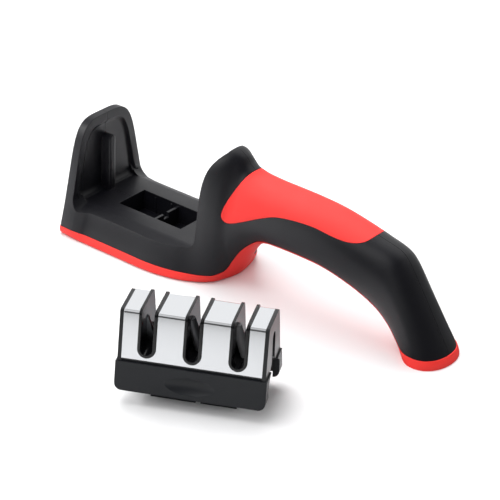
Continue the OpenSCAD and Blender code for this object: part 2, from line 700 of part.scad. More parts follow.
module cartridge_housing() {
    under = cover_t + fit;
    step = skirt_h + spigot_step;
    color(black) on_table() difference() {
        union() {
            wedge(under, skirt_h, cart_l - frame_w);
            for (side = [-1, 1]) translate([side * (cart_l - frame_w) / 2, 0, 0]) wedge(0, skirt_h, frame_w);
            band(spigot_inset, skirt_h - spigot_h, step, cart_l - 2 * (skirt_t + fit));
        }
        difference() {
            union() {
                wedge(under + housing_t, step, cart_l - 2 * end_plate_t);
                band(spigot_inset + housing_t, 0, step + over, cart_l - 2 * end_plate_t);
            }
            at_pillars() translate([0, 0, floor_t]) cylinder(d = pillar_d, h = cart_h, $fn = fine);
        }
        at_slots() slot(guide_r + fit);
        at_pillars() cylinder(d = pin_d, h = pin_l + fit, $fn = fine);
        keyhole(groove_depth);
        intersection() {
            keyhole(end_plate_t + over);
            translate([-cart_l, -cart_l, 0]) cube([2 * cart_l, 2 * cart_l, flare_h]);
        }
    }
    color(black) on_table() at_pillars() difference() {
        translate([0, 0, floor_t])
            cylinder(d = pillar_d, h = cart_h - cover_t - housing_t - floor_t, $fn = fine);
        cylinder(d = pin_d, h = pin_l + fit, $fn = fine);
    }
}

module metal_cover() {
    color(steel) on_table() difference() {
        wedge(0, skirt_h + cover_gap, cart_l - 2 * frame_w);
        wedge(cover_t, skirt_h, cart_l);
        at_slots() slot(guide_r + fit);
    }
}

// A rod or blade leans in the plane of its slot: lean is 1 or -1, and Z runs up along it from the crossing
module leaning(cross_h, lean) {
    translate([0, 0, cross_h]) rotate([0, lean * stone_lean, 0]) children();
}
module rod_shape(side, spare = 0, below = 0) {
    translate([0, side * (rod_d / 2 + rod_gap), 0]) leaning(rod_cross_h, side)
        translate([0, 0, -rod_drop - below]) cylinder(d = rod_d + spare, h = rod_l + below, $fn = fine);
}
module blade_shape(side, spare = 0, below = 0) {
    translate([0, side * (blade_t / 2 + blade_gap), 0]) leaning(blade_cross_h, side)
        translate([-blade_w / 2 - spare, -blade_t / 2 - spare, -blade_drop - below])
            cube([blade_w + 2 * spare, blade_t + 2 * spare, blade_l + below + spare]);
}
module pin_along_slot(d, from, to) {
    translate([0, from, blade_cross_h]) rotate([-90, 0, 0]) cylinder(d = d, h = to - from, $fn = fine);
}

// The channel of a slot, whose rim stands proud of the metal cover, and the block for its stones
module slot_guide() {
    difference() {
        union() {
            intersection() {
                slot(guide_r);
                wedge(-rim_proud, block_low, 4 * guide_r);
            }
            translate([-block_w / 2, -cheek_d / 2, block_low])
                cube([block_w, cheek_d, block_high - block_low]);
        }
        slot(slot_r);
        children();
    }
}
module rod_guide() {
    slot_guide() {
        rod_shape(-1, fit, block_low);
        rod_shape(1, fit, block_low);
    }
}

module slot_guide_blades() {
    color(gloss_black) on_table() translate([-slot_pitch, 0, 0]) slot_guide() {
        blade_shape(-1, fit / 2, block_low);
        blade_shape(1, fit / 2, block_low);
        pin_along_slot(pin_d, -cheek_d, cheek_d / 2 - pin_head_h);
        pin_along_slot(pin_head_d + 2 * fit, -cheek_d, pin_head_h - cheek_d / 2);
    }
}
module slot_guide_diamond() {
    color(gloss_black) on_table() rod_guide();
}
module slot_guide_ceramic() {
    color(gloss_black) on_table() translate([slot_pitch, 0, 0]) rod_guide();
}
module carbide_blade(side) {
    color(carbide) on_table() translate([-slot_pitch, 0, 0]) difference() {
        blade_shape(side);
        pin_along_slot(pin_d + 2 * fit, -cheek_d, cheek_d);
    }
}
module carbide_blade_front() {
    carbide_blade(-1);
}
module carbide_blade_rear() {
    carbide_blade(1);
}
module blade_clamp_screw() {
    color(steel) on_table() translate([-slot_pitch, pin_head_h - cheek_d / 2, blade_cross_h])
        rotate([90, 0, 0]) screw(pin_d, cheek_d - 2 * pin_head_h - fit, pin_head_d, pin_head_h);
}
module diamond_rod_front() {
    color(diamond) on_table() rod_shape(-1);
}
module diamond_rod_rear() {
    color(diamond) on_table() rod_shape(1);
}
module ceramic_rod_front() {
    color(ceramic) on_table() translate([slot_pitch, 0, 0]) rod_shape(-1);
}
module ceramic_rod_rear() {
    color(ceramic) on_table() translate([slot_pitch, 0, 0]) rod_shape(1);
}
module cartridge_screws() {
    color(steel) on_table() at_pillars() mirror([0, 0, 1]) screw(pin_d, pin_l, pin_head_d, pin_head_h);
}

body_front_shell();
body_rear_shell();
grip_inlay();
soft_underside();
shell_screws();
cartridge_base();
cartridge_housing();
metal_cover();
slot_guide_blades();
slot_guide_diamond();
slot_guide_ceramic();
carbide_blade_front();
carbide_blade_rear();
blade_clamp_screw();
diamond_rod_front();
diamond_rod_rear();
ceramic_rod_front();
ceramic_rod_rear();
cartridge_screws();
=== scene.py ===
"""Hand-held pull-through knife sharpener.

The arched holder and its three-slot cartridge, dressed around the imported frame.
"""

import json
import logging
import math
from dataclasses import astuple, dataclass, field, replace
from enum import Enum
from typing import Iterable, Optional, Sequence, Union

import bmesh
import bpy
from mathutils import Matrix, Vector

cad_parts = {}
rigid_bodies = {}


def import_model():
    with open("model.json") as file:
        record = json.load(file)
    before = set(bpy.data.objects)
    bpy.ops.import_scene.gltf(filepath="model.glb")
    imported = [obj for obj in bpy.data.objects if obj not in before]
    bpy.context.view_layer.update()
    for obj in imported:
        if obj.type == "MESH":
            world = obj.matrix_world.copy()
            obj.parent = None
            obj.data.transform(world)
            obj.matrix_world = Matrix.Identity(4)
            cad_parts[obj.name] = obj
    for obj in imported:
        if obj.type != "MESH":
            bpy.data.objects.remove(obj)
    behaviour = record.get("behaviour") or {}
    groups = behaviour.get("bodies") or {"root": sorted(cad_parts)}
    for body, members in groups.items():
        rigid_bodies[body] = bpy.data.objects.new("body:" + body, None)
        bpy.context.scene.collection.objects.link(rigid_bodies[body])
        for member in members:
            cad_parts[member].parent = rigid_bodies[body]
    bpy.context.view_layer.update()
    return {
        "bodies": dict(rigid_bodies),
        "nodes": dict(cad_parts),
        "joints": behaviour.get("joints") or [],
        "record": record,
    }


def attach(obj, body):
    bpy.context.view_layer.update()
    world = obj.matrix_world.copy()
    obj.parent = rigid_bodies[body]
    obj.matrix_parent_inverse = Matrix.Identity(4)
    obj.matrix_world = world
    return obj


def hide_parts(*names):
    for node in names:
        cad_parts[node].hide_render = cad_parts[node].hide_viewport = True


LOG = logging.getLogger("sharpener")
MM = 0.001

# How strongly the points of a slice crowd near its corners, and how a slice flares below its middle
CROWD = 0.8
FLARE_POWER = 3.0
# Vertices closer than these, in millimetres, become one: in a loft, at the parting plane, after a boolean, and
# in a finished mesh
LOFT_MERGE = 0.001
PLANE_MERGE = 0.0005
CUT_MERGE = 0.002
LAST_MERGE = 0.004
# Coordinates closer than this, in metres, are the same
SAME = 1e-6
# Edges that turn more than this, in degrees, stay sharp
SHARP_ANGLE = 30.0
# Cutters: their width, how far they reach past the body, a small overlap, and their arcs' step in degrees
CUTTER_W = 90.0
OUTSIDE = 5.0
OVER = 0.4
ARC_STEP = 9
# The grain and the cloudy wear of every finish
NOISE_DETAIL = 3.0
GRAIN_ROUGH = 0.6
CLOUD_ROUGH = 0.55
CLOUD_RATIO = 40
CLOUD_RANGE = (0.3, 0.7)
WEAR = 0.06
GRAIN_SHEEN = 0.1
BUMP_STRENGTH = 0.5
EDGE_SAMPLES = 6

Number = Union[int, float]
Point2 = tuple[float, float]
Colour = tuple[float, float, float]


# ---------------------------------------------------------------- materials
def srgb(red: int, green: int, blue: int) -> tuple[float, float, float, float]:
    """Turns an 8-bit sRGB colour into the linear RGBA that a shader socket takes.

    Args:
        red, green, blue: The colour, 0 to 255 each.

    Returns:
        The linear colour with full opacity.
    """
    linear = [c / 255 / 12.92 if c <= 10 else ((c / 255 + 0.055) / 1.055) ** 2.4 for c in (red, green, blue)]
    return (linear[0], linear[1], linear[2], 1.0)


class Value:
    """A number that flows through a material: a socket whose arithmetic adds Math nodes."""

    def __init__(self, graph: "Graph", socket: bpy.types.NodeSocket) -> None:
        """Wraps a socket of a graph."""
        self.graph = graph
        self.socket = socket

    def _math(self, operation: str, *values: "Union[Value, Number]") -> "Value":
        """Adds one Math node on the given values."""
        return self.graph.add("ShaderNodeMath", {"operation": operation}, dict(enumerate(values)))

    def __add__(self, other: "Union[Value, Number]") -> "Value":
        """Sum."""
        return self._math("ADD", self, other)

    def __radd__(self, other: Number) -> "Value":
        """Sum with a number on the left."""
        return self._math("ADD", other, self)

    def __sub__(self, other: "Union[Value, Number]") -> "Value":
        """Difference."""
        return self._math("SUBTRACT", self, other)

    def __rsub__(self, other: Number) -> "Value":
        """Difference from a number."""
        return self._math("SUBTRACT", other, self)

    def __mul__(self, other: "Union[Value, Number]") -> "Value":
        """Product."""
        return self._math("MULTIPLY", self, other)

    def __rmul__(self, other: Number) -> "Value":
        """Product with a number on the left."""
        return self._math("MULTIPLY", other, self)


class Graph:
    """The node tree of a material or of the world."""

    def __init__(self, owner: Union[bpy.types.Material, bpy.types.World]) -> None:
        """Empties the owner's tree."""
        self.owner = owner
        self.owner.use_nodes = True
        self.tree = self.owner.node_tree
        self.tree.nodes.clear()

    def add(
        self,
        kind: str,
        settings: Optional[dict[str, object]] = None,
        inputs: Optional[dict[Union[int, str], object]] = None,
        output: Union[int, str] = 0,
    ) -> Value:
        """Adds one node.

        Args:
            kind: The node's type name.
            settings: Properties that are set first; a colour ramp's stops go under "stops".
            inputs: Values or links for its sockets, by name or place.
            output: The socket to hand back.

        Returns:
            The chosen output.
        """
        node = self.tree.nodes.new(kind)
        for key, value in (settings or {}).items():
            if key == "stops":
                ramp = node.color_ramp
                for place, (position, colour) in enumerate(value):
                    stop = ramp.elements[place] if place < 2 else ramp.elements.new(position)
                    stop.position, stop.color = position, colour
            else:
                setattr(node, key, value)
        for key, value in (inputs or {}).items():
            if isinstance(value, Value):
                self.tree.links.new(value.socket, node.inputs[key])
            else:
                node.inputs[key].default_value = value
        outputs = node.outputs
        return Value(self, outputs[output] if outputs else node.inputs[0])

    def place(self) -> Value:
        """The Object coordinates."""
        return self.add("ShaderNodeTexCoord", output="Object")

    def noise(self, place: Value, scale: float, rough: float) -> Value:
        """A noise pattern's factor.

        Args:
            place: The coordinates.
            scale: Cells per metre.
            rough: How strong the finer octaves are.

        Returns:
            The factor, about 0 to 1.
        """
        values = {"Vector": place, "Scale": scale, "Detail": NOISE_DETAIL, "Roughness": rough}
        return self.add("ShaderNodeTexNoise", {}, values)

    def mix(self, factor: Union[Value, float], first: object, second: object) -> Value:
        """Mixes two colours."""
        return self.add("ShaderNodeMix", {"data_type": "RGBA"}, {0: factor, 6: first, 7: second}, output=2)

    def spread(self, value: Value, low: float, high: float, out_low: float, out_high: float) -> Value:
        """Maps a range of a value onto another, clamped."""
        return self.add(
            "ShaderNodeMapRange", {"clamp": True},
            {"Value": value, "From Min": low, "From Max": high, "To Min": out_low, "To Max": out_high},
        )

    def ramp(self, factor: Value, stops: Sequence[tuple[float, Colour]]) -> Value:
        """Colours a factor by stops."""
        full = [(position, (*colour, 1.0)) for position, colour in stops]
        return self.add("ShaderNodeValToRGB", {"stops": full}, {"Fac": factor})

    def finish(self, shader: Value) -> Union[bpy.types.Material, bpy.types.World]:
        """Links a shader to the output and hands back the owner."""
        world = isinstance(self.owner, bpy.types.World)
        self.add("ShaderNodeOutputWorld" if world else "ShaderNodeOutputMaterial", {}, {"Surface": shader})
        return self.owner


@dataclass(frozen=True)
class Finish:
    """A moulded or ground surface.

    The grain is given in cells per metre and in millimetres of depth, edge_radius in millimetres.
    """

    name: str
    slot: str
    colour: tuple[float, float, float, float]
    roughness: float
    metallic: float = 0.0
    mottle: float = 0.06
    grain_scale: float = 2600.0
    grain_depth: float = 0.02
    edge_radius: float = 0.4
    gloss: float = 0.5
    stretch: tuple[float, float, float] = (1.0, 1.0, 1.0)

    def tinted(self, amount: float) -> tuple[float, ...]:
        """The colour, lighter or darker by an amount."""
        return tuple(min(1.0, c * (1 + amount)) for c in self.colour[:3]) + (1.0,)

    def build(self) -> bpy.types.Material:
        """Makes the material.

        Returns:
            The finished material.
        """
        graph = Graph(bpy.data.materials.new(self.name))
        place = graph.add("ShaderNodeMapping", {}, {"Vector": graph.place(), "Scale": self.stretch})
        grain = graph.noise(place, self.grain_scale, GRAIN_ROUGH)
        cloud = graph.noise(place, self.grain_scale / CLOUD_RATIO, CLOUD_ROUGH)
        colour = graph.mix(cloud, self.tinted(-self.mottle), self.tinted(self.mottle))
        worn = self.roughness * (1 - WEAR), min(1.0, self.roughness * (1 + WEAR))
        roughness = graph.spread(cloud, *CLOUD_RANGE, *worn) + (grain - 0.5) * (GRAIN_SHEEN * self.roughness)
        rounded = graph.add("ShaderNodeBevel", {"samples": EDGE_SAMPLES}, {"Radius": self.edge_radius * MM})
        bump = graph.add(
            "ShaderNodeBump", {},
            {"Strength": BUMP_STRENGTH, "Distance": self.grain_depth * MM, "Height": grain, "Normal": rounded},
        )
        shader = graph.add(
            "ShaderNodeBsdfPrincipled", {},
            {
                "Base Color": colour, "Roughness": roughness, "Metallic": self.metallic, "Normal": bump,
                "Specular IOR Level": self.gloss,
            },
        )
        return graph.finish(shader)


class Stuff(Enum):
    """The finishes of the object's pieces."""

    BODY = Finish(
        "satin_black_plastic", "black_plastic", srgb(16, 16, 21), roughness=0.42, grain_scale=3200,
        grain_depth=0.03,
    )
    GRIP = Finish(
        "soft_red_grip", "red_grip", srgb(255, 62, 58), roughness=0.6, mottle=0.02, grain_scale=4200, gloss=0.3,
    )
    SOLE = Finish("soft_red_sole", "red_sole", srgb(252, 54, 48), roughness=0.5, mottle=0.02, grain_scale=4200)
    SCREW = Finish(
        "zinc_screw", "screw_steel", srgb(178, 180, 182), roughness=0.3, metallic=1.0, grain_depth=0.01,
        edge_radius=0.2,
    )
    SKIRT = Finish("skirt_plastic", "skirt_plastic", srgb(22, 24, 28), roughness=0.42, grain_scale=3200)
    MIRROR = Finish(
        "polished_sheet", "mirror_metal", srgb(238, 240, 243), roughness=0.12, metallic=1.0, mottle=0.01,
        grain_scale=900, grain_depth=0.002, edge_radius=0.25, stretch=(0.06, 1.0, 1.0),
    )
    GLOSS = Finish(
        "gloss_black_plastic", "gloss_black", srgb(12, 12, 14), roughness=0.16, grain_depth=0.002,
        edge_radius=0.35,
    )
    FRAME = Finish(
        "frame_plastic", "black_plastic", srgb(24, 25, 27), roughness=0.3, grain_scale=3200, grain_depth=0.01,
    )
    CARBIDE = Finish(
        "ground_carbide", "carbide", srgb(120, 122, 126), roughness=0.35, metallic=1.0, grain_depth=0.01,
        edge_radius=0.2,
    )
    DIAMOND = Finish(
        "diamond_grit", "diamond_rod", srgb(112, 112, 116), roughness=0.5, metallic=0.8, mottle=0.25,
        grain_scale=5200, grain_depth=0.12, edge_radius=0.1,
    )
    CERAMIC = Finish(
        "ceramic_stone", "ceramic_rod", srgb(118, 118, 120), roughness=0.6, grain_scale=4200, grain_depth=0.04,
        edge_radius=0.1,
    )


class Dresser:
    """Builds each finish once and hands it to the pieces."""

    def __init__(self) -> None:
        """Starts with nothing built."""
        self.built: dict[Stuff, bpy.types.Material] = {}

    def dress(self, piece: bpy.types.Object, stuff: Stuff) -> None:
        """Gives a piece its material.

        Args:
            piece: The object.
            stuff: Its finish.
        """
        if stuff not in self.built:
            self.built[stuff] = stuff.value.build()
        piece.data.materials.clear()
        piece.data.materials.append(self.built[stuff])


# ---------------------------------------------------------------- mesh helpers
def new_object(name: str, bm: bmesh.types.BMesh) -> bpy.types.Object:
    """Turns a bmesh into a linked object at the origin and frees it."""
    mesh = bpy.data.meshes.new(name)
    bm.to_mesh(mesh)
    bm.free()
    piece = bpy.data.objects.new(name, mesh)
    bpy.context.scene.collection.objects.link(piece)
    return piece


def drop(piece: bpy.types.Object) -> None:
    """Removes a helper object and its mesh."""
    mesh = piece.data
    bpy.data.objects.remove(piece)
    bpy.data.meshes.remove(mesh)


def push(bm: bmesh.types.BMesh, face: bmesh.types.BMFace, way: Sequence[float]) -> None:
    """Extrudes a face along a vector in metres."""
    pushed = bmesh.ops.extrude_face_region(bm, geom=[face])["geom"]
    bmesh.ops.translate(bm, verts=[v for v in pushed if isinstance(v, bmesh.types.BMVert)], vec=way)


def prism(
    name: str, outline: Sequence[Point2], width: float = CUTTER_W, tilt: Optional[Matrix] = None
) -> bpy.types.Object:
    """A side view in X and Z, extruded to both sides of the middle plane.

    Args:
        name: The object's name.
        outline: The corners in millimetres.
        width: The full width in millimetres.
        tilt: A transform for the finished prism, in metres.

    Returns:
        The prism.
    """
    bm = bmesh.new()
    face = bm.faces.new([bm.verts.new((x * MM, -width * MM / 2, z * MM)) for x, z in outline])
    push(bm, face, (0, width * MM, 0))
    if tilt is not None:
        bmesh.ops.transform(bm, matrix=tilt, verts=bm.verts)
    bmesh.ops.recalc_face_normals(bm, faces=bm.faces)
    return new_object(name, bm)


def block(name: str, low: Sequence[float], high: Sequence[float]) -> bpy.types.Object:
    """A cuboid between two corners in millimetres."""
    bm = bmesh.new()
    size = [h - l for l, h in zip(low, high)]
    centre = [(h + l) / 2 * MM for l, h in zip(low, high)]
    bmesh.ops.create_cube(bm, size=MM)
    bmesh.ops.scale(bm, vec=size, verts=bm.verts)
    bmesh.ops.translate(bm, vec=centre, verts=bm.verts)
    return new_object(name, bm)


def weld(piece: bpy.types.Object, merge: float) -> None:
    """Merges vertices that lie closer together than merge, in millimetres."""
    bm = bmesh.new()
    bm.from_mesh(piece.data)
    bmesh.ops.remove_doubles(bm, verts=bm.verts, dist=merge * MM)
    bmesh.ops.dissolve_degenerate(bm, edges=bm.edges, dist=merge * MM)
    bm.to_mesh(piece.data)
    bm.free()


def combine(target: bpy.types.Object, others: Iterable[bpy.types.Object], how: str) -> None:
    """Runs exact booleans on target, one after another, and removes the other objects.

    Args:
        target: The object that is changed.
        others: The operands.
        how: DIFFERENCE, UNION or INTERSECT.
    """
    for other in others:
        step = target.modifiers.new("cut", "BOOLEAN")
        step.operation, step.solver, step.object = how, "EXACT", other
        bpy.context.view_layer.update()
        result = bpy.data.meshes.new_from_object(target.evaluated_get(bpy.context.evaluated_depsgraph_get()))
        target.modifiers.clear()
        old, target.data = target.data, result
        bpy.data.meshes.remove(old)
        drop(other)
        weld(target, CUT_MERGE)


def twin(piece: bpy.types.Object, name: str) -> bpy.types.Object:
    """A copy of an object with its own mesh."""
    copy = bpy.data.objects.new(name, piece.data.copy())
    bpy.context.scene.collection.objects.link(copy)
    return copy


def settle(piece: bpy.types.Object, angle: float = SHARP_ANGLE) -> None:
    """Welds a finished mesh, shades it smooth and keeps its sharp edges.

    Args:
        piece: The object.
        angle: Edges that turn more than this, in degrees, stay sharp.
    """
    weld(piece, LAST_MERGE)
    bm = bmesh.new()
    bm.from_mesh(piece.data)
    for face in bm.faces:
        face.smooth = True
    for edge in bm.edges:
        edge.smooth = len(edge.link_faces) != 2 or edge.calc_face_angle(0.0) < math.radians(angle)
    bm.to_mesh(piece.data)
    bm.free()
    piece.data.name = piece.name


# ---------------------------------------------------------------- the holder
@dataclass(frozen=True)
class Slice:
    """One slice of the holder: a chord in the middle plane with a superelliptic half width."""

    low_x: float
    low_z: float
    top_x: float
    top_z: float
    half: float
    square_low: float
    square_top: float
    taper: float = 0.0
    pinch: float = 0.0
    skin: float = 2.0
    flare: float = 0.0

    def point(self, share: float, inset: float) -> Vector:
        """A point of the slice's front side.

        Args:
            share: From -1 at the chord's bottom to 1 at its top; even steps crowd near the corners.
            inset: How far the shape is drawn in, in millimetres.

        Returns:
            The point in millimetres, on the side of negative Y.
        """
        bottom, top = Vector((self.low_x, self.low_z)), Vector((self.top_x, self.top_z))
        along = (top - bottom).normalized()
        length = (top - bottom).length
        angle = math.pi / 2 * (share + CROWD * math.sin(2 * math.pi * share) / (2 * math.pi))
        sine, cosine = math.sin(angle), max(0.0, math.cos(angle))
        power = self.square_low if share < 0 else self.square_top
        size = (abs(sine) ** power + cosine ** power) ** (1 / power)
        rise = sine / size
        narrow = 1 - self.taper * rise / 2
        narrow *= 1 - self.pinch * math.sin(math.pi / 2 * max(0.0, rise))
        narrow *= 1 + self.flare * max(0.0, -rise) ** FLARE_POWER
        place = bottom + along * (length / 2 + (length / 2 - inset) * rise)
        return Vector((place.x, -(self.half - inset) * cosine / size * narrow, place.y))


@dataclass
class HolderForm:
    """The holder's shape in millimetres: its outline, its slices and the bay between the towers."""

    length: float = 210.9
    base_l: float = 66.0
    base_w: float = 57.6
    waist_w: float = 39.0
    handle_w: float = 26.0
    foot_w: float = 28.6
    deck_h: float = 16.6
    end_tower_h: float = 56.4
    neck_tower_h: float = 64.4
    arch_h: float = 27.0
    sole_t: float = 4.2
    strip_t: float = 3.2
    sole_proud: float = 0.3
    grip_t: float = 1.3
    bay_l: float = 70.8
    end_tower_t: float = 5.9
    end_lean: float = 0.9
    dish_depth: float = 2.0
    dish_rim: float = 2.6
    dish_flank: float = 4.2
    dish_steps: int = 10
    dish_start: float = 0.5
    dish_lead: float = 1.0
    dish_lean_share: float = 0.8
    dish_before: float = 3.0
    dish_behind: float = 8.0
    rib_t: float = 4.2
    rib_reach: float = 3.8
    rib_h: float = 28.6
    rib_edge_r: float = 0.6
    rib_edge_steps: int = 3
    rib_arc_step: int = 12
    rib_root: float = 1.5
    rib_foot: float = 1.0
    bay_fillet: float = 2.0
    flat_w: float = 36.0
    band_slope: float = 24.0
    band_fillet: float = 5.4
    neck_fillet: float = 3.0
    cell_l: float = 38.8
    cell_w: float = 18.4
    divider_t: float = 1.4
    divider_drop: float = 1.5
    divider_shift: float = 2.0
    divider_gap: float = 2.0
    cell_floor: float = 2.4
    cell_open: float = 3.0
    notch_w: float = 3.4
    notch_drop: float = 4.0
    corner_r: float = 1.5
    top_edge_r: float = 1.4
    end_arc_step: int = 10
    neck_lean: float = 9.0
    lean_power: float = 6.0
    base_square: float = 18.0
    end_square: float = 14.0
    steps: int = 6
    face_steps: int = 30
    open_share: float = 1.6
    # Each row is a slice, in shares of the sizes above.
    # Base: place along it, rise of the top, half width, squareness above, taper, flare
    base_shares: tuple[tuple[float, ...], ...] = (
        (0.00, 0.00, 0.389, 4.6, 0.52, 0.05),
        (0.07, 0.05, 0.372, 4.6, 0.46, 0.14),
        (0.15, 0.11, 0.353, 4.6, 0.41, 0.23),
        (0.45, 0.34, 0.349, 4.6, 0.40, 0.25),
        (0.70, 0.56, 0.349, 4.5, 0.40, 0.25),
        (0.87, 0.77, 0.330, 4.3, 0.40, 0.25),
    )
    # Neck: x below and above, height, half width, squareness below and above, taper, pinch, flare, skin
    neck_shares: tuple[tuple[float, ...], ...] = (
        (0.000, 0.000, 0.955, 0.870, 16.0, 4.0, 0.46, 0.00, 0.24, 1.0),
        (0.050, 0.050, 0.980, 0.840, 13.0, 3.4, 0.34, 0.00, 0.16, 1.0),
        (0.086, 0.090, 1.000, 0.790, 8.0, 2.8, 0.16, 0.10, 0.14, 1.0),
        (0.109, 0.124, 0.972, 0.725, 3.0, 2.5, 0.02, 0.22, 0.10, 1.3),
    )
    # Handle: x and z below, x and z above, half width, squareness below and above, pinch, skin, flare
    handle_shares: tuple[tuple[float, ...], ...] = (
        (0.130, 0.144, 0.150, 0.912, 1.040, 2.3, 2.5, 0.18, 2.28, -0.30),
        (0.158, 0.440, 0.180, 0.874, 1.000, 2.3, 2.6, 0.06, 1.72, -0.30),
        (0.195, 0.715, 0.218, 0.856, 0.970, 2.4, 2.6, 0.00, 1.03, -0.25),
        (0.245, 0.889, 0.268, 0.848, 0.960, 2.5, 2.6, 0.00, 0.97, -0.20),
        (0.320, 0.940, 0.335, 0.846, 0.960, 2.6, 2.6, 0.00, 1.00, -0.15),
        (0.415, 0.952, 0.417, 0.842, 0.960, 2.6, 2.6, 0.00, 1.03, -0.10),
        (0.505, 0.927, 0.511, 0.828, 0.950, 2.6, 2.6, 0.00, 1.03, -0.10),
        (0.588, 0.839, 0.606, 0.795, 0.930, 2.6, 2.6, 0.00, 1.03, -0.10),
        (0.666, 0.706, 0.700, 0.754, 0.900, 2.6, 2.6, 0.00, 1.06, -0.10),
        (0.730, 0.539, 0.774, 0.716, 0.880, 2.6, 2.6, 0.00, 1.09, -0.10),
        (0.779, 0.344, 0.812, 0.652, 0.880, 2.6, 2.6, 0.00, 1.15, -0.05),
        (0.809, 0.177, 0.864, 0.490, 0.900, 2.5, 2.5, 0.00, 1.12, 0.00),
        (0.829, 0.057, 0.924, 0.290, 0.960, 2.4, 2.4, 0.00, 0.94, 0.00),
    )
    # Foot: x below and above, back from the heel, height, half width, squareness, skin
    foot_shares: tuple[tuple[float, ...], ...] = (
        (0.162, 0.010, 0.065, 0.98, 2.2, 0.62),
        (0.160, 0.000, 0.000, 1.00, 2.1, 0.62),
    )
    grip_shares: tuple[Point2, ...] = (
        (0.170, 0.885), (0.143, 0.775), (0.118, 0.660), (0.107, 0.565), (0.119, 0.518), (0.145, 0.518),
        (0.200, 0.572), (0.260, 0.640), (0.325, 0.700), (0.400, 0.728), (0.480, 0.736), (0.550, 0.722),
        (0.605, 0.716), (0.648, 0.728), (0.675, 0.752), (0.686, 0.790),
    )
    grip_end_share: float = 0.7
    grip_top_share: float = 1.3
    core_shares: Point2 = (0.03, 0.86)
    core_over: float = 20.0
    arch_share: float = 0.08
    boss_shares: tuple[Point2, ...] = (
        (0.057, 0.155), (0.329, 0.155), (0.462, 0.404), (0.667, 0.559), (0.876, 0.388),
    )
    screw_web: float = 3.0
    screw_hole_d: float = 6.0
    screw_hole_sides: int = 32
    fin_shares: tuple[float, ...] = (-0.31, -0.05)
    fin_t: float = 1.0
    fin_proud: float = 0.25
    fin_root: float = 2.0

    @property
    def bay_left(self) -> float:
        """Where the bay starts."""
        return -self.bay_l / 2

    @property
    def bay_right(self) -> float:
        """Where the bay ends."""
        return self.bay_l / 2

    @property
    def end_x(self) -> float:
        """The end tower's outer face."""
        return self.bay_left - self.end_tower_t

    @property
    def heel_x(self) -> float:
        """The heel of the foot."""
        return self.end_x + self.length

    @property
    def run(self) -> float:
        """The handle's run from the end of the base to the heel."""
        return self.heel_x - self.base_l / 2

    @property
    def grip_reach(self) -> Point2:
        """The stretch of the handle along X that carries the grip."""
        start, end = (self.base_l / 2 + share * self.run for share in self.core_shares)
        return start, end

    def slices(self) -> list[Slice]:
        """All slices from the end tower to the foot, smoothed.

        Returns:
            The slices in order.
        """
        base = [
            Slice(x, 0, x, self.end_tower_h + s[1] * (self.neck_tower_h - self.end_tower_h),
                  s[2] * self.base_w, self.base_square, s[3], s[4], 0, self.sole_t, s[5])
            for s in self.base_shares for x in [(s[0] - 0.5) * self.base_l]
        ]
        neck = [
            Slice(self.base_l / 2 + s[0] * self.run, 0, self.base_l / 2 + s[1] * self.run,
                  s[2] * self.neck_tower_h, s[3] * self.waist_w / 2, s[4], s[5], s[6], s[7],
                  s[9] * self.sole_t, s[8])
            for s in self.neck_shares
        ]
        handle = [
            Slice(self.base_l / 2 + s[0] * self.run, s[1] * self.arch_h, self.base_l / 2 + s[2] * self.run,
                  s[3] * self.neck_tower_h, s[4] * self.handle_w / 2, s[5], s[6], 0, s[7],
                  s[8] * self.strip_t, s[9])
            for s in self.handle_shares
        ]
        foot = [
            Slice(self.heel_x - s[0] * self.run, 0, self.heel_x - s[1] * self.run, s[2] * self.neck_tower_h,
                  s[3] * self.foot_w / 2, s[4], s[4], 0, 0, s[5] * self.strip_t)
            for s in self.foot_shares
        ]
        return self.end_slices(base[0]) + self.smooth(base + neck + handle + foot)

    def end_slices(self, first: Slice) -> list[Slice]:
        """The rounded end of the base: slices that grow from the end tower's outer face to the first one."""
        rows = []
        for degrees in range(0, 90, self.end_arc_step):
            turn = math.radians(degrees)
            x = self.end_x + self.corner_r * (1 - math.cos(turn))
            lower = self.top_edge_r * (1 - math.sin(min(math.pi / 2, turn * self.corner_r / self.top_edge_r)))
            rows.append(replace(
                first, low_x=x, top_x=x + self.end_lean, top_z=self.end_tower_h - lower,
                half=first.half - self.corner_r * (1 - math.sin(turn)), square_low=self.end_square,
            ))
        return rows

    def smooth(self, rows: Sequence[Slice]) -> list[Slice]:
        """Runs a spline through the slices, which never dips below the table.

        Args:
            rows: The slices to pass through.

        Returns:
            Those slices with steps - 1 more between each pair.
        """
        table = [astuple(row) for row in rows]
        out = []
        last = len(table) - 1
        for i in range(last):
            p0, p1, p2, p3 = (table[max(i - 1, 0)], table[i], table[i + 1], table[min(i + 2, last)])
            for j in range(self.steps):
                row = [spline(a, b, c, d, j / self.steps) for a, b, c, d in zip(p0, p1, p2, p3)]
                row[1] = max(0.0, row[1])
                out.append(Slice(*row))
        return out + [rows[last]]

    def under_line(self, lift: float) -> list[Point2]:
        """The parting line between the black shells and the red underside, lifted by some millimetres."""
        line = []
        for row in self.slices():
            if row.low_x > self.base_l / 2 + self.arch_share * self.run:
                along = Vector((row.top_x - row.low_x, row.top_z - row.low_z)).normalized()
                point = Vector((row.low_x, row.low_z)) + along * (row.skin + lift)
                line.append((point.x, max(point.y, self.sole_t + lift)))
        return line

    def under_outline(self, lift: float, floor: float) -> list[Point2]:
        """Side view of everything between that line and a floor."""
        start, end, high = self.end_x - OUTSIDE, self.heel_x + OUTSIDE, self.sole_t + lift
        return [(start, high), *self.under_line(lift), (end, high), (end, floor), (start, floor)]

    def neck_face(self, z: float) -> float:
        """X of the neck tower's face towards the bay at a height."""
        share = min(1.0, max(0.0, z - self.deck_h) / (self.neck_tower_h - self.deck_h))
        return self.bay_right + self.neck_lean * share ** self.lean_power

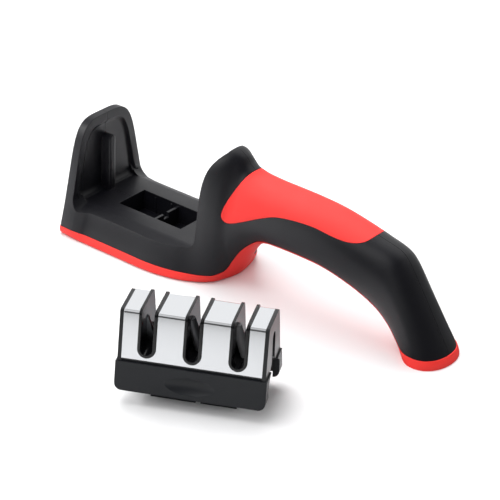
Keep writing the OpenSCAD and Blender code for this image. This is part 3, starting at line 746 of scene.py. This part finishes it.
    def bay_outline(self, dish: float, left_r: float, right_r: float) -> list[Point2]:
        """Side view of the space between the towers.

        Args:
            dish: How much deeper it reaches into both towers, in millimetres.
            left_r: Its radius at the foot of the end tower.
            right_r: Its radius at the foot of the neck tower.

        Returns:
            The corners in millimetres.
        """
        left, right = self.bay_left - dish, self.bay_right + dish
        low, high = self.deck_h + right_r, self.open_share * self.neck_tower_h
        turns = [math.radians(t) for t in range(0, 91, ARC_STEP)]
        corner = [
            (left + left_r * (1 - math.cos(t)), self.deck_h + left_r * (1 - math.sin(t))) for t in turns
        ]
        other = [
            (right - right_r * (1 - math.sin(t)), self.deck_h + right_r * (1 - math.cos(t))) for t in turns[:-1]
        ]
        face = [
            (self.neck_face(z) + dish, z)
            for z in (low + (high - low) * i / self.face_steps for i in range(self.face_steps + 1))
        ]
        return [(left, high), *corner, *other, *face]

    def grip_outline(self, grow: float) -> list[Point2]:
        """Side view of the red grip, grown by some millimetres."""
        last = len(self.grip_shares) - 1
        edge = []
        for i in range(last):
            rows = [self.grip_shares[k] for k in (max(i - 1, 0), i, i + 1, min(i + 2, last))]
            for j in range(self.steps):
                edge.append(tuple(spline(*(row[axis] for row in rows), j / self.steps) for axis in (0, 1)))
        edge.append(self.grip_shares[last])
        line = [Vector((self.base_l / 2 + x * self.run, z * self.neck_tower_h)) for x, z in edge]
        grown = []
        for i, point in enumerate(line):
            ahead = line[min(i + 1, len(line) - 1)] - line[max(i - 1, 0)]
            grown.append(point + Vector((ahead.y, -ahead.x)).normalized() * grow)
        high = self.grip_top_share * self.neck_tower_h
        return [
            *((p.x, p.y) for p in grown), (self.base_l / 2 + self.grip_end_share * self.run, high),
            (grown[0].x, high),
        ]


def spline(a: float, b: float, c: float, d: float, t: float) -> float:
    """A Catmull-Rom value between b and c."""
    return (2 * b + (c - a) * t + (2 * a - 5 * b + 4 * c - d) * t * t + (3 * b - a - 3 * c + d) * t ** 3) / 2


@dataclass
class Holder:
    """Builds the black shells with their screw recesses, the grip and the red underside."""

    form: HolderForm
    dresser: Dresser
    around: int = 40
    seam: float = 0.08
    grip_gap: float = 0.12
    sole_gap: float = 0.05

    def stretch(
        self, inset: float, start: float = -math.inf, end: float = math.inf
    ) -> list[tuple[Slice, float]]:
        """The slices whose tops lie between two places along X, each with the same inset."""
        return [(row, inset) for row in self.form.slices() if start <= row.top_x <= end]

    def loft(self, name: str, rows: Sequence[tuple[Slice, float]]) -> bpy.types.Object:
        """A closed mesh through slices.

        Args:
            name: The object's name.
            rows: The slices, each with how far it is drawn in, in millimetres.

        Returns:
            The mesh object.
        """
        long, turns = len(rows) - 1, 2 * self.around
        bm = bmesh.new()
        bmesh.ops.create_grid(bm, x_segments=long, y_segments=turns, size=0.5)
        for vert in bm.verts:
            row, inset = rows[round((vert.co.x + 0.5) * long)]
            share = round((vert.co.y + 0.5) * turns) / self.around * 2 - 2
            side = 1 if abs(share) <= 1 else -1
            folded = share if side > 0 else math.copysign(2, share) - share
            point = row.point(folded, inset)
            vert.co = Vector((point.x, side * point.y, point.z)) * MM
        bmesh.ops.remove_doubles(bm, verts=bm.verts, dist=LOFT_MERGE * MM)
        bmesh.ops.holes_fill(bm, edges=[edge for edge in bm.edges if edge.is_boundary], sides=0)
        bmesh.ops.recalc_face_normals(bm, faces=bm.faces)
        return new_object(name, bm)

    def rib(self, side: int) -> bpy.types.Object:
        """An upright guide rib with a round top and a rounded face.

        Args:
            side: -1 for the end tower's rib, 1 for the neck tower's.

        Returns:
            The rib, whose root lies inside the tower.
        """
        form = self.form
        half, top = form.rib_t / 2, form.deck_h + form.rib_h
        face, root = form.bay_right - form.rib_reach, form.bay_right + form.dish_depth + form.rib_root
        bm = bmesh.new()
        outline = [(-half, form.deck_h - form.rib_foot), (half, form.deck_h - form.rib_foot)] + [
            (half * math.cos(math.radians(t)), top - half + half * math.sin(math.radians(t)))
            for t in range(0, 181, form.rib_arc_step)
        ]
        first = bm.faces.new([bm.verts.new((side * root * MM, y * MM, z * MM)) for y, z in outline])
        push(bm, first, (side * (face - root) * MM, 0, 0))
        rim = [edge for edge in bm.edges if all(abs(v.co.x - side * face * MM) < SAME for v in edge.verts)]
        bmesh.ops.bevel(
            bm, geom=rim, offset=form.rib_edge_r * MM, segments=form.rib_edge_steps, profile=0.5, affect="EDGES"
        )
        bmesh.ops.recalc_face_normals(bm, faces=bm.faces)
        return new_object("rib", bm)

    def bay_prisms(self, deeper: float) -> list[bpy.types.Object]:
        """The middle and the two sloping bands of the bay, some millimetres deeper into both towers."""
        form = self.form
        small, end_r, neck_r = (r + deeper for r in (form.bay_fillet, form.band_fillet, form.neck_fillet))
        prisms = [prism("bay_middle", form.bay_outline(deeper, small, small), form.flat_w + OVER)]
        for side in (-1, 1):
            pivot = Matrix.Translation(Vector((0, side * form.flat_w / 2, form.deck_h)) * MM)
            tilt = pivot @ Matrix.Rotation(math.radians(-side * form.band_slope), 4, "X") @ pivot.inverted()
            shift = Matrix.Translation(Vector((0, side * form.flat_w / 2, 0)) * MM)
            outline = form.bay_outline(deeper, end_r, neck_r)
            prisms.append(prism("bay_band", outline, 2 * form.base_w, tilt @ shift))
        return prisms

    def screw_holes(self) -> list[bpy.types.Object]:
        """The recesses in the rear shell that take the heads of the shell screws."""
        form = self.form
        radius = form.screw_hole_d / 2 * MM
        holes = []
        for along, high in form.boss_shares:
            bm = bmesh.new()
            bmesh.ops.create_cone(
                bm, cap_ends=True, segments=form.screw_hole_sides, radius1=radius, radius2=radius,
                depth=form.base_w * MM,
            )
            bmesh.ops.rotate(bm, verts=bm.verts, matrix=Matrix.Rotation(math.pi / 2, 3, "X"))
            x, z = form.end_x + along * form.length, high * form.neck_tower_h
            bmesh.ops.translate(bm, verts=bm.verts, vec=Vector((x, form.screw_web + form.base_w / 2, z)) * MM)
            holes.append(new_object("screw_hole", bm))
        return holes

    def fins(self) -> list[bpy.types.Object]:
        """The thin upright guides on the walls of the longer cell."""
        form = self.form
        half, proud = form.fin_t / 2, form.fin_proud
        low, high = form.sole_t + form.fin_root, form.deck_h - form.divider_drop
        return [
            block("fin", (x - half, y - proud, low), (x + half, y + proud, high))
            for x in (share * form.cell_l for share in form.fin_shares)
            for y in (-form.cell_w / 2, form.cell_w / 2)
        ]

    def dish(self, side: int) -> bpy.types.Object:
        """The recess in the inner face of a tower, with sloping flanks.

        Args:
            side: -1 for the end tower, 1 for the neck tower.

        Returns:
            The cutter.
        """
        form = self.form
        slices = form.slices()
        if side < 0:
            model = next(row for row in slices if row.low_x > form.bay_left - form.dish_lead)
            depths = [(1 - math.cos(math.pi * i / form.dish_steps)) / 2 for i in range(form.dish_steps + 1)]
            rows = []
            for depth in [-form.dish_start, *(share * form.dish_depth for share in depths)]:
                x = form.bay_left - depth
                top = x + form.end_lean * form.dish_lean_share
                rows.append((replace(model, low_x=x, top_x=top), self.drawn_in(depth)))
        else:
            rows = [
                (row, self.drawn_in(row.low_x - form.bay_right)) for row in slices
                if -form.dish_before < row.low_x - form.bay_right < form.neck_lean + form.dish_behind
            ]
        dish = self.loft("dish", rows)
        space, *bands = self.bay_prisms(form.dish_depth)
        combine(space, bands, "UNION")
        combine(dish, [space], "INTERSECT")
        return dish

    def drawn_in(self, deep: float) -> float:
        """How far the dish's outline is drawn in at a depth below the tower's face, in millimetres."""
        share = min(1.0, max(0.0, deep / self.form.dish_depth))
        return self.form.dish_rim + self.form.dish_flank * math.acos(1 - 2 * share) / math.pi

    def cells(self) -> list[bpy.types.Object]:
        """The two cells of the deck, and the lower, notched edge of the divider between them."""
        form = self.form
        low, high = form.sole_t + form.cell_floor, form.deck_h + form.cell_open
        long, wide = form.cell_l / 2, form.cell_w / 2
        left, right = (form.divider_shift + side * form.divider_t / 2 for side in (-1, 1))
        gap_left, gap_right = (form.divider_shift + side * form.divider_gap / 2 for side in (-1, 1))
        return [
            block("cell", (-long, -wide, low), (left, wide, high)),
            block("cell", (right, -wide, low), (long, wide, high)),
            block("cell_gap", (gap_left, -wide, form.deck_h - form.divider_drop), (gap_right, wide, high)),
            block("cell_notch", (gap_left, -form.notch_w / 2, form.deck_h - form.notch_drop),
                  (gap_right, form.notch_w / 2, high)),
        ]

    def halve(self, body: bpy.types.Object, side: int) -> None:
        """Keeps one side of the middle plane, and closes the cut.

        Args:
            body: The whole body.
            side: -1 keeps the front, 1 the rear.
        """
        bm = bmesh.new()
        bm.from_mesh(body.data)
        cut = bmesh.ops.bisect_plane(
            bm, geom=[*bm.verts, *bm.edges, *bm.faces], dist=PLANE_MERGE * MM, clear_outer=True,
            plane_co=(0, side * self.seam * MM, 0), plane_no=(0, -side, 0),
        )["geom_cut"]
        bmesh.ops.contextual_create(bm, geom=[edge for edge in cut if isinstance(edge, bmesh.types.BMEdge)])
        bmesh.ops.recalc_face_normals(bm, faces=bm.faces)
        bm.to_mesh(body.data)
        bm.free()

    def shells(self) -> list[bpy.types.Object]:
        """The front and rear shells."""
        form = self.form
        body = self.loft("body", self.stretch(0))
        combine(body, [prism("under", form.under_outline(0, -OUTSIDE))], "DIFFERENCE")
        combine(body, [*self.bay_prisms(0), self.dish(-1), self.dish(1), *self.cells()], "DIFFERENCE")
        combine(body, [self.rib(-1), self.rib(1), *self.fins()], "UNION")
        recess = prism("recess", form.grip_outline(self.grip_gap))
        core = self.loft("core", self.stretch(form.grip_t, *form.grip_reach))
        combine(recess, [core], "DIFFERENCE")
        combine(body, [recess], "DIFFERENCE")
        rear = twin(body, "shell_rear")
        front = body
        front.name = "shell_front"
        self.halve(front, -1)
        self.halve(rear, 1)
        combine(rear, self.screw_holes(), "DIFFERENCE")
        for shell, node in ((front, "body_front_shell"), (rear, "body_rear_shell")):
            settle(shell)
            self.dresser.dress(shell, Stuff.BODY)
            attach(shell, "holder")
            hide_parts(node)
        return [front, rear]

    def grip(self) -> bpy.types.Object:
        """The soft red pad on the back of the handle."""
        form = self.form
        start, end = form.grip_reach
        pad = self.loft("grip", self.stretch(0, start, end))
        core = self.loft("core", self.stretch(form.grip_t, start - form.core_over, end + form.core_over))
        combine(pad, [core], "DIFFERENCE")
        combine(pad, [prism("side", form.grip_outline(0))], "INTERSECT")
        settle(pad)
        self.dresser.dress(pad, Stuff.GRIP)
        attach(pad, "holder")
        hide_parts("grip_inlay")
        return pad

    def underside(self) -> bpy.types.Object:
        """The red sole, the strip under the arch and the cap of the foot, in one piece."""
        form = self.form
        sole = self.loft("underside", self.stretch(-form.sole_proud))
        combine(sole, [prism("side", form.under_outline(-self.sole_gap, 0.0))], "INTERSECT")
        settle(sole)
        self.dresser.dress(sole, Stuff.SOLE)
        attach(sole, "holder")
        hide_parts("soft_underside")
        return sole

    def build(self) -> list[bpy.types.Object]:
        """Makes all pieces of the holder."""
        return [*self.shells(), self.grip(), self.underside()]


# ---------------------------------------------------------------- the cartridge
@dataclass
class Cartridge:
    """Dresses the pieces of the cartridge and the shell screws."""

    frame: dict
    dresser: Dresser
    looks: dict[str, Stuff] = field(default_factory=lambda: {
        "shell_screws": Stuff.SCREW,
        "cartridge_base": Stuff.SKIRT,
        "cartridge_housing": Stuff.FRAME,
        "metal_cover": Stuff.MIRROR,
        "slot_guide_blades": Stuff.GLOSS,
        "slot_guide_diamond": Stuff.GLOSS,
        "slot_guide_ceramic": Stuff.GLOSS,
        "carbide_blade_front": Stuff.CARBIDE,
        "carbide_blade_rear": Stuff.CARBIDE,
        "blade_clamp_screw": Stuff.SCREW,
        "diamond_rod_front": Stuff.DIAMOND,
        "diamond_rod_rear": Stuff.DIAMOND,
        "ceramic_rod_front": Stuff.CERAMIC,
        "ceramic_rod_rear": Stuff.CERAMIC,
        "cartridge_screws": Stuff.SCREW,
    })
    sharp_angles: dict[str, float] = field(default_factory=lambda: {"cartridge_base": 9.0})
    flat_angle: float = 0.6

    def build(self) -> list[bpy.types.Object]:
        """Makes a refined copy of each node and hides the node."""
        return [self.refine(node, stuff) for node, stuff in self.looks.items()]

    def refine(self, node: str, stuff: Stuff) -> bpy.types.Object:
        """A welded, smooth-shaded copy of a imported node.

        Args:
            node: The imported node.
            stuff: Its finish.

        Returns:
            The piece that stands for the node.
        """
        bodies = self.frame["record"]["behaviour"]["bodies"]
        body = next(name for name, members in bodies.items() if node in members)
        bm = bmesh.new()
        bm.from_mesh(self.frame["nodes"][node].data)
        bmesh.ops.remove_doubles(bm, verts=bm.verts, dist=CUT_MERGE * MM)
        bmesh.ops.dissolve_limit(
            bm, angle_limit=math.radians(self.flat_angle), use_dissolve_boundaries=False, verts=bm.verts,
            edges=bm.edges, delimit=set(),
        )
        piece = new_object(node.replace("_", "-") + "-dressed", bm)
        settle(piece, self.sharp_angles.get(node, SHARP_ANGLE))
        self.dresser.dress(piece, stuff)
        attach(piece, body)
        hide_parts(node)
        return piece


# ---------------------------------------------------------------- the studio
@dataclass(frozen=True)
class Lamp:
    """A soft rectangular lamp that looks at the object: metres and watts, and whether gloss mirrors it."""

    name: str
    place: tuple[float, float, float]
    size: Point2
    watts: float
    shows: bool = False

    def build(self, target: Sequence[float]) -> None:
        """Makes the lamp, turned to a target in metres."""
        data = bpy.data.lights.new(self.name, "AREA")
        data.shape, data.energy = "RECTANGLE", self.watts
        data.size, data.size_y = self.size
        lamp = bpy.data.objects.new(self.name, data)
        lamp.visible_glossy = self.shows
        bpy.context.scene.collection.objects.link(lamp)
        turn = (Vector(target) - Vector(self.place)).to_track_quat("-Z", "Y").to_matrix().to_4x4()
        lamp.matrix_world = Matrix.Translation(Vector(self.place)) @ turn


@dataclass(frozen=True)
class Glow:
    """A soft round part of the world.

    It lies in a direction, way, fades in between two cosines from it, and goes from one strength to another.
    """

    way: tuple[float, float, float]
    fade: Point2
    strength: Point2


@dataclass
class Studio:
    """The pale floor, the soft lights and the camera at the photograph's angle."""

    focal_px: float = 2380.2
    image_px: float = 500.0
    sensor: float = 36.0
    azimuth: float = 0.6674
    elevation: float = 0.508
    roll: float = 0.0334
    distance: float = 1138.88
    clip: Point2 = (0.05, 20.0)
    target: tuple[float, float, float] = (38.05, 20.57, 0.0)
    lit: tuple[float, float, float] = (0.06, 0.0, 0.02)
    lamps: tuple[Lamp, ...] = (
        Lamp("key", (-0.55, 0.35, 1.25), (1.1, 0.8), 18),
        Lamp("left", (-1.3, -0.9, 0.9), (0.9, 0.7), 9, shows=True),
        Lamp("top", (-0.15, -0.3, 1.4), (0.8, 0.5), 5),
        Lamp("front", (0.3, -1.3, 0.9), (1.6, 1.2), 9.5),
        Lamp("right", (1.3, 0.3, 0.5), (0.9, 0.6), 3.5),
    )
    window: Glow = Glow((-0.2, 0.78, 0.59), (0.55, 0.86), (0.08, 0.95))
    screen: Glow = Glow((-0.45, -0.55, 0.70), (0.74, 0.96), (0.0, 1.0))
    floor_seen: tuple[float, float, float, float] = srgb(238, 238, 239)
    # Painted shade: a darker copy of the floor for rays that are neither camera nor glossy, which dims the
    # light the floor throws back onto the object
    floor_bounce_shade: tuple[float, float, float, float] = srgb(200, 200, 202)
    floor_roughness: float = 0.42
    floor_gloss: float = 0.35
    floor_size: float = 6.0
    # Painted shadow and reflection in the floor's colour for glossy rays: along X, dark bands stand in for the
    # shade around the handle; along Y, a darker gradient with a faint bluish line stands in for the cartridge's
    # contact shadow that its cover mirrors
    reflected_shadow_span_x: Point2 = (0.0, 0.2)
    reflected_shadow_stops_x: tuple[tuple[float, Colour], ...] = (
        (0.05, (0.95, 0.95, 0.97)), (0.25, (0.42, 0.42, 0.44)), (0.48, (0.42, 0.42, 0.44)),
        (0.58, (0.95, 0.95, 0.97)), (0.66, (0.95, 0.95, 0.97)), (0.76, (0.02, 0.02, 0.02)),
    )
    reflected_shadow_span_y: Point2 = (-0.2, -0.1)
    reflected_shadow_fade_y: Point2 = (-0.12, -0.1)
    reflected_shadow_stops_y: tuple[tuple[float, Colour], ...] = (
        (0.20, (0.64, 0.64, 0.64)), (0.33, (0.60, 0.61, 0.62)), (0.38, (0.48, 0.52, 0.56)),
        (0.46, (0.58, 0.58, 0.58)), (0.62, (0.50, 0.50, 0.50)), (0.72, (0.46, 0.46, 0.46)),
    )

    def camera(self) -> None:
        """Places the camera."""
        a, e = self.azimuth, self.elevation
        back = Vector((math.sin(a) * math.cos(e), -math.cos(a) * math.cos(e), math.sin(e)))
        right = Vector((math.cos(a), math.sin(a), 0))
        up = back.cross(right)
        c, s = math.cos(self.roll), math.sin(self.roll)
        right_rolled, up_rolled = right * c + up * s, up * c - right * s
        data = bpy.data.cameras.new("camera")
        data.sensor_width = self.sensor
        data.lens = self.focal_px / self.image_px * self.sensor
        data.clip_start, data.clip_end = self.clip
        camera = bpy.data.objects.new("camera", data)
        bpy.context.scene.collection.objects.link(camera)
        turn = Matrix((right_rolled, up_rolled, back)).transposed().to_4x4()
        place = (Vector(self.target) + back * self.distance) * MM
        camera.matrix_world = Matrix.Translation(place) @ turn
        bpy.context.scene.camera = camera

    def floor(self) -> None:
        """A wide pale floor that keeps the object's shadow, with painted shadows and reflections in what gloss
        mirrors and a darker painted-shade copy that dims its bounce light.
        """
        bm = bmesh.new()
        bmesh.ops.create_grid(bm, x_segments=1, y_segments=1, size=self.floor_size)
        floor = new_object("floor", bm)
        graph = Graph(bpy.data.materials.new("pale_floor"))
        parts = {
            axis: graph.add("ShaderNodeSeparateXYZ", {}, {"Vector": graph.place()}, axis) for axis in "XY"
        }
        # Painted shadow and reflection: glossy rays see a colour painted by place, darker where shade should
        # lie; camera rays see the plain pale floor
        along = graph.ramp(graph.spread(parts["X"], *self.reflected_shadow_span_x, 0, 1), self.reflected_shadow_stops_x)
        front = graph.ramp(graph.spread(parts["Y"], *self.reflected_shadow_span_y, 0, 1), self.reflected_shadow_stops_y)
        painted_reflection = graph.mix(graph.spread(parts["Y"], *self.reflected_shadow_fade_y, 1, 0), along, front)
        glossy = graph.add("ShaderNodeLightPath", output="Is Glossy Ray")
        seen = graph.add("ShaderNodeLightPath", output="Is Camera Ray")
        colour = graph.mix(seen, graph.mix(glossy, self.floor_bounce_shade, painted_reflection), self.floor_seen)
        shader = graph.add(
            "ShaderNodeBsdfPrincipled", {},
            {"Base Color": colour, "Roughness": self.floor_roughness, "Specular IOR Level": self.floor_gloss},
        )
        floor.data.materials.append(graph.finish(shader))

    def sky(self) -> None:
        """A world with a bright window behind the object and a soft screen over its left front."""
        graph = Graph(bpy.data.worlds.new("studio"))
        way = graph.add("ShaderNodeTexCoord", output="Generated")
        strengths = []
        for glow in (self.window, self.screen):
            values = {0: way, 1: glow.way}
            cosine = graph.add("ShaderNodeVectorMath", {"operation": "DOT_PRODUCT"}, values, output="Value")
            strengths.append(graph.spread(cosine, *glow.fade, *glow.strength))
        values = {"Color": (1.0, 1.0, 1.0, 1.0), "Strength": strengths[0] + strengths[1]}
        shader = graph.add("ShaderNodeBackground", {}, values)
        bpy.context.scene.world = graph.finish(shader)

    def build(self) -> None:
        """Sets up camera, floor and lights."""
        self.camera()
        self.floor()
        for lamp in self.lamps:
            lamp.build(self.lit)
        self.sky()
        bpy.context.scene.view_settings.view_transform = "Standard"


def main() -> None:
    """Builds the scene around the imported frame."""
    logging.basicConfig(level=logging.INFO, format="%(name)s: %(message)s")
    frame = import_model()
    dresser = Dresser()
    Studio().build()
    pieces = Holder(HolderForm(), dresser).build() + Cartridge(frame, dresser).build()
    for piece in pieces:
        LOG.info("%s: %d vertices", piece.name, len(piece.data.vertices))


if __name__ == "__main__":
    main()
